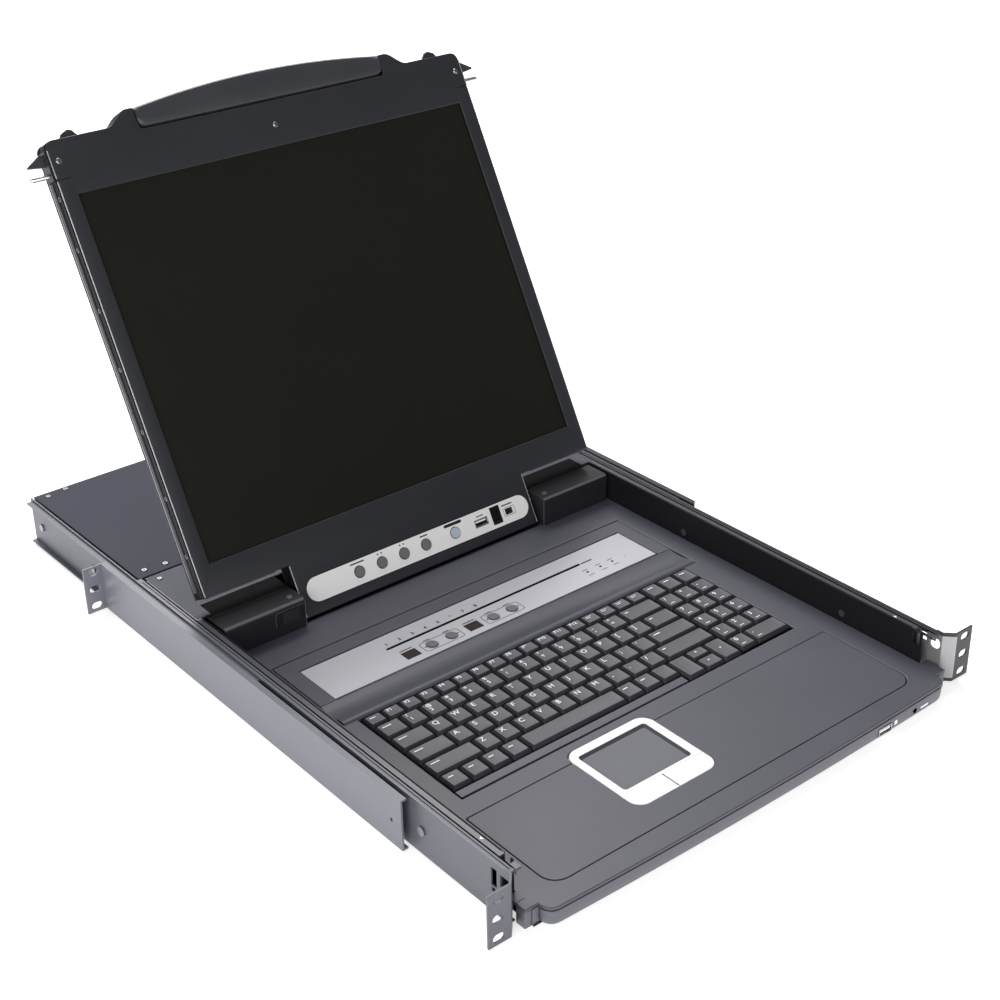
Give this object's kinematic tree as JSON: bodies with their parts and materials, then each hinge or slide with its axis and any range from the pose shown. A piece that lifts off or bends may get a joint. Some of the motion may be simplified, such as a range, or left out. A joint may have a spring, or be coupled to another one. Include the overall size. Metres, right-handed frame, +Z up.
{
  "type": "rack keyboard, video and mouse switch drawer",
  "caption": "One-unit rack drawer with a folding flat screen, keyboard, touchpad and port buttons, sliding on rails in front of its switch box.",
  "frame": {"origin": "centre of the front rack-ear slot pattern, on the front face of the ears", "axes": "+X to the right as seen from the front, +Y to the back of the rack, +Z up"},
  "size_m": [0.4826, 0.6898, 0.404],
  "materials": {
    "rail_paint": "satin powder coat",
    "bare_steel": "bare",
    "case_paint": "fine textured powder coat",
    "deck_plastic": "fine grain",
    "key_plastic": "satin",
    "silver_plate": "satin",
    "display_glass": "gloss",
    "button_grey": "satin",
    "lid_plastic": "fine grain",
    "strip_silver": "satin",
    "pad_white": "satin",
    "pad_surface": "matt",
    "screen": "anti-glare",
    "board_green": "solder mask",
    "screw_steel": "plain",
    "socket_black": "plain"
  },
  "bodies": {
    "rack_frame": {"outer_rail_left": "rail_paint", "outer_rail_right": "rail_paint", "rear_bracket_left": "rail_paint", "rear_bracket_right": "rail_paint", "bracket_guide_left": "rail_paint", "bracket_guide_right": "rail_paint", "chassis_base": "case_paint", "chassis_cover": "case_paint", "kvm_board": "board_green", "power_supply": "bare_steel", "power_inlet": "socket_black", "computer_ports": "socket_black", "chassis_screws": "screw_steel"},
    "console": {"console_tray": "case_paint", "inner_rail_left": "rail_paint", "inner_rail_right": "rail_paint", "rear_cover": "case_paint", "keyboard_deck": "deck_plastic", "front_bezel": "deck_plastic", "front_usb_port": "bare_steel", "keyboard_base": "deck_plastic", "keyboard_trim_bar": "deck_plastic", "control_panel_cover": "deck_plastic", "port_panel_plate": "silver_plate", "port_displays": "display_glass", "console_board": "board_green", "touchpad_frame": "pad_white", "touchpad_surface": "pad_surface", "hinge_cover_left": "case_paint", "hinge_cover_right": "case_paint", "console_screws": "screw_steel"},
    "lid": {"hinge_shafts": "bare_steel", "lid_rear_shell": "lid_plastic", "lid_bezel": "lid_plastic", "osd_strip": "strip_silver", "osd_jacks": "bare_steel", "lid_boards": "board_green", "lcd_panel": "screen", "lid_handle": "lid_plastic", "lid_screws": "screw_steel"},
    "main_keys": {"main_keys": "key_plastic"},
    "function_keys": {"function_keys": "key_plastic"},
    "numeric_pad_keys": {"numeric_pad_keys": "key_plastic"},
    "space_bar": {"space_bar": "key_plastic"},
    "enter_key": {"enter_key": "key_plastic"},
    "port_down_button": {"port_down_button": "button_grey"},
    "port_up_button": {"port_up_button": "button_grey"},
    "station_down_button": {"station_down_button": "button_grey"},
    "station_up_button": {"station_up_button": "button_grey"},
    "touchpad_button_left": {"touchpad_button_left": "pad_white"},
    "touchpad_button_right": {"touchpad_button_right": "pad_white"},
    "lid_lock_slider": {"lid_lock_slider": "case_paint"},
    "osd_exit_button": {"osd_exit_button": "button_grey"},
    "osd_down_button": {"osd_down_button": "button_grey"},
    "osd_up_button": {"osd_up_button": "button_grey"},
    "osd_menu_button": {"osd_menu_button": "button_grey"},
    "lcd_power_button": {"lcd_power_button": "button_grey"},
    "osd_slide_switch": {"osd_slide_switch": "socket_black"},
    "catch_left": {"catch_left": "screw_steel"},
    "catch_right": {"catch_right": "screw_steel"}
  },
  "joints": [
    {"name": "drawer_slide", "type": "slide", "parent": "rack_frame", "child": "console", "axis": [0, -1, 0], "range_m": [0, 0.4]},
    {"name": "lid_hinge", "type": "hinge", "parent": "console", "child": "lid", "pos_m": [0, 0.395, 0.0125], "axis": [1, 0, 0], "range_deg": [0, 118.75]},
    {"name": "main_keys_press", "type": "slide", "parent": "console", "child": "main_keys", "axis": [0, 0, -1], "range_m": [0, 0.002], "stiffness_N_per_m": 6000, "springref_m": -0.001},
    {"name": "function_keys_press", "type": "slide", "parent": "console", "child": "function_keys", "axis": [0, 0, -1], "range_m": [0, 0.002], "stiffness_N_per_m": 3000, "springref_m": -0.001},
    {"name": "numeric_pad_keys_press", "type": "slide", "parent": "console", "child": "numeric_pad_keys", "axis": [0, 0, -1], "range_m": [0, 0.002], "stiffness_N_per_m": 3000, "springref_m": -0.001},
    {"name": "space_bar_press", "type": "slide", "parent": "console", "child": "space_bar", "axis": [0, 0, -1], "range_m": [0, 0.002], "stiffness_N_per_m": 400, "springref_m": -0.001},
    {"name": "enter_key_press", "type": "slide", "parent": "console", "child": "enter_key", "axis": [0, 0, -1], "range_m": [0, 0.002], "stiffness_N_per_m": 400, "springref_m": -0.001},
    {"name": "port_down_button_press", "type": "slide", "parent": "console", "child": "port_down_button", "axis": [0, 0, -1], "range_m": [0, 0.0006], "stiffness_N_per_m": 1500, "springref_m": -0.0005},
    {"name": "port_up_button_press", "type": "slide", "parent": "console", "child": "port_up_button", "axis": [0, 0, -1], "range_m": [0, 0.0006], "stiffness_N_per_m": 1500, "springref_m": -0.0005},
    {"name": "station_down_button_press", "type": "slide", "parent": "console", "child": "station_down_button", "axis": [0, 0, -1], "range_m": [0, 0.0006], "stiffness_N_per_m": 1500, "springref_m": -0.0005},
    {"name": "station_up_button_press", "type": "slide", "parent": "console", "child": "station_up_button", "axis": [0, 0, -1], "range_m": [0, 0.0006], "stiffness_N_per_m": 1500, "springref_m": -0.0005},
    {"name": "touchpad_button_left_press", "type": "slide", "parent": "console", "child": "touchpad_button_left", "axis": [0, 0, -1], "range_m": [0, 0.0005], "stiffness_N_per_m": 1500, "springref_m": -0.0005},
    {"name": "touchpad_button_right_press", "type": "slide", "parent": "console", "child": "touchpad_button_right", "axis": [0, 0, -1], "range_m": [0, 0.0005], "stiffness_N_per_m": 1500, "springref_m": -0.0005},
    {"name": "osd_exit_button_press", "type": "slide", "parent": "lid", "child": "osd_exit_button", "axis": [0, 0.8767, -0.481], "range_m": [0, 0.0008], "stiffness_N_per_m": 1500, "springref_m": -0.0005},
    {"name": "osd_down_button_press", "type": "slide", "parent": "lid", "child": "osd_down_button", "axis": [0, 0.8767, -0.481], "range_m": [0, 0.0008], "stiffness_N_per_m": 1500, "springref_m": -0.0005},
    {"name": "osd_up_button_press", "type": "slide", "parent": "lid", "child": "osd_up_button", "axis": [0, 0.8767, -0.481], "range_m": [0, 0.0008], "stiffness_N_per_m": 1500, "springref_m": -0.0005},
    {"name": "osd_menu_button_press", "type": "slide", "parent": "lid", "child": "osd_menu_button", "axis": [0, 0.8767, -0.481], "range_m": [0, 0.0008], "stiffness_N_per_m": 1500, "springref_m": -0.0005},
    {"name": "lcd_power_button_press", "type": "slide", "parent": "lid", "child": "lcd_power_button", "axis": [0, 0.8767, -0.481], "range_m": [0, 0.0008], "stiffness_N_per_m": 1500, "springref_m": -0.0005},
    {"name": "catch_left_slide", "type": "slide", "parent": "lid", "child": "catch_left", "axis": [1, 0, 0], "range_m": [0, 0.01], "stiffness_N_per_m": 400, "springref_m": -0.005},
    {"name": "catch_right_slide", "type": "slide", "parent": "lid", "child": "catch_right", "axis": [-1, 0, 0], "range_m": [0, 0.01], "stiffness_N_per_m": 400, "springref_m": -0.005},
    {"name": "lid_lock_slide", "type": "slide", "parent": "console", "child": "lid_lock_slider", "axis": [-1, 0, 0], "range_m": [0, 0.004]},
    {"name": "osd_switch_slide", "type": "slide", "parent": "lid", "child": "osd_slide_switch", "axis": [1, 0, 0], "range_m": [0, 0.0038]}
  ]
}
